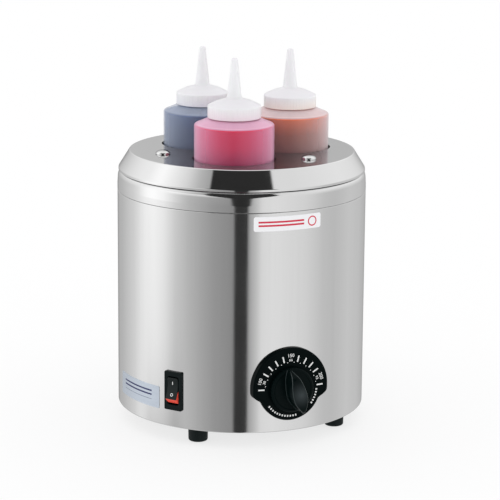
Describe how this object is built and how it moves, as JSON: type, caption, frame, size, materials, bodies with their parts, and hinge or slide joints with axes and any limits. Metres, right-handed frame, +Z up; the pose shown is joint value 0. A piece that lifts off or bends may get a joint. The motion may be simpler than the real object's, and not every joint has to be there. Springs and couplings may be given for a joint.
{
  "type": "round squeeze bottle warmer",
  "caption": "Round countertop sauce warmer: steel drum with a water well, lift-out bottle rack, capped squeeze bottles, dial thermostat and rocker switch.",
  "frame": {"origin": "on the counter, on the drum's axis, at the height of the feet's undersides", "axes": "+Z up along the drum's axis; -Y is the front, with the dial; the switch is on the front left, towards -X"},
  "size_m": [0.2163, 0.26, 0.3235],
  "materials": {
    "polished_steel": "polished stainless steel with a fine vertical grain",
    "base_steel": "galvanised sheet",
    "zinc_hardware": "zinc plated",
    "foot_rubber": "matt black rubber",
    "heater_wrap": "woven mica-and-glass wrap",
    "phenolic": "brown phenolic",
    "thermostat_shell": "dull plated case",
    "copper": "copper tube",
    "dial_plastic": "near-black moulded plastic",
    "switch_plastic": "black moulded nylon",
    "brass": "brass",
    "terminal_plastic": "cream nylon",
    "wire_insulation": "silicone insulation",
    "cord_jacket": "black PVC",
    "tie_plastic": "black strap",
    "label_film": null,
    "nameplate_foil": "satin foil plate",
    "bottle_plastic": "translucent squeeze plastic",
    "cap_plastic": "translucent white plastic",
    "seal_foam": "white foam",
    "sauce_red": "red sauce",
    "sauce_orange": "orange-brown sauce",
    "sauce_blue": "slate blue sauce"
  },
  "bodies": {
    "root": {"shroud": "polished_steel", "vessel": "polished_steel", "base_plate": "base_steel", "feet": "foot_rubber", "foot_screws": "zinc_hardware", "foot_washers": "zinc_hardware", "foot_nuts": "zinc_hardware", "tie_rod": "zinc_hardware", "tie_nut": "zinc_hardware", "tie_washer": "zinc_hardware", "heater_band": "heater_wrap", "heater_clamp": "zinc_hardware", "high_limit_cutoff": "phenolic", "thermostat_body": "thermostat_shell", "thermostat_bulb": "copper", "bulb_clip": "zinc_hardware", "dial_plate": "dial_plastic", "dial_screws": "zinc_hardware", "switch_housing": "switch_plastic", "switch_terminals": "brass", "terminal_block": "terminal_plastic", "wiring": "wire_insulation", "ground_screw": "brass", "strain_relief": "cord_jacket", "power_cord": "cord_jacket", "cord_tie": "tie_plastic", "plug": "cord_jacket", "plug_blades": "brass", "warning_label": "label_film", "nameplate": "nameplate_foil"},
    "shaft": {"thermostat_shaft": "zinc_hardware"},
    "knob": {"knob": "dial_plastic", "knob_clip": "zinc_hardware"},
    "rocker": {"rocker": "switch_plastic"},
    "rack": {"rack_lid": "polished_steel", "rack_rods": "polished_steel", "rack_nuts": "polished_steel", "dome_nuts": "polished_steel", "rack_shelf": "polished_steel"},
    "bottle_1": {"bottle_1": "bottle_plastic", "sauce_1": "sauce_red"},
    "liner_1": {"cap_liner_1": "seal_foam"},
    "cap_1": {"cap_1": "cap_plastic"},
    "bottle_2": {"bottle_2": "bottle_plastic", "sauce_2": "sauce_orange"},
    "liner_2": {"cap_liner_2": "seal_foam"},
    "cap_2": {"cap_2": "cap_plastic"},
    "bottle_3": {"bottle_3": "bottle_plastic", "sauce_3": "sauce_blue"},
    "liner_3": {"cap_liner_3": "seal_foam"},
    "cap_3": {"cap_3": "cap_plastic"}
  },
  "joints": [
    {"name": "thermostat_turn", "type": "hinge", "parent": "root", "child": "shaft", "pos_m": [0.002, -0.1, 0.0519], "axis": [0, 1, 0], "range_deg": [-75, 99]},
    {"name": "knob_pull", "type": "slide", "parent": "shaft", "child": "knob", "axis": [0, -1, 0], "range_m": [0, 0.005]},
    {"name": "switch_rock", "type": "hinge", "parent": "root", "child": "rocker", "pos_m": [-0.08555, -0.06493, 0.0466], "axis": [0.6046, -0.7965, 0], "range_deg": [0, 24]},
    {"name": "rack_lift", "type": "slide", "parent": "root", "child": "rack", "axis": [0, 0, 1], "range_m": [0, 0.12]},
    {"name": "bottle_lift_1", "type": "slide", "parent": "rack", "child": "bottle_1", "axis": [0, 0, 1], "range_m": [0, 0.125]},
    {"name": "cap_rise_1", "type": "slide", "parent": "bottle_1", "child": "liner_1", "axis": [0, 0, 1], "range_m": [0, 0.00525]},
    {"name": "cap_turn_1", "type": "hinge", "parent": "liner_1", "child": "cap_1", "pos_m": [-0.0223, -0.03862, 0.28], "axis": [0, 0, 1], "range_deg": [0, 450]},
    {"name": "bottle_lift_2", "type": "slide", "parent": "rack", "child": "bottle_2", "axis": [0, 0, 1], "range_m": [0, 0.125]},
    {"name": "cap_rise_2", "type": "slide", "parent": "bottle_2", "child": "liner_2", "axis": [0, 0, 1], "range_m": [0, 0.00525]},
    {"name": "cap_turn_2", "type": "hinge", "parent": "liner_2", "child": "cap_2", "pos_m": [0.0446, 0, 0.28], "axis": [0, 0, 1], "range_deg": [0, 450]},
    {"name": "bottle_lift_3", "type": "slide", "parent": "rack", "child": "bottle_3", "axis": [0, 0, 1], "range_m": [0, 0.125]},
    {"name": "cap_rise_3", "type": "slide", "parent": "bottle_3", "child": "liner_3", "axis": [0, 0, 1], "range_m": [0, 0.00525]},
    {"name": "cap_turn_3", "type": "hinge", "parent": "liner_3", "child": "cap_3", "pos_m": [-0.0223, 0.03862, 0.28], "axis": [0, 0, 1], "range_deg": [0, 450]}
  ],
  "couplings": [
    {"joint": "cap_turn_1", "follows": "cap_rise_1", "rad_per_m": 1496},
    {"joint": "cap_turn_2", "follows": "cap_rise_2", "rad_per_m": 1496},
    {"joint": "cap_turn_3", "follows": "cap_rise_3", "rad_per_m": 1496}
  ]
}
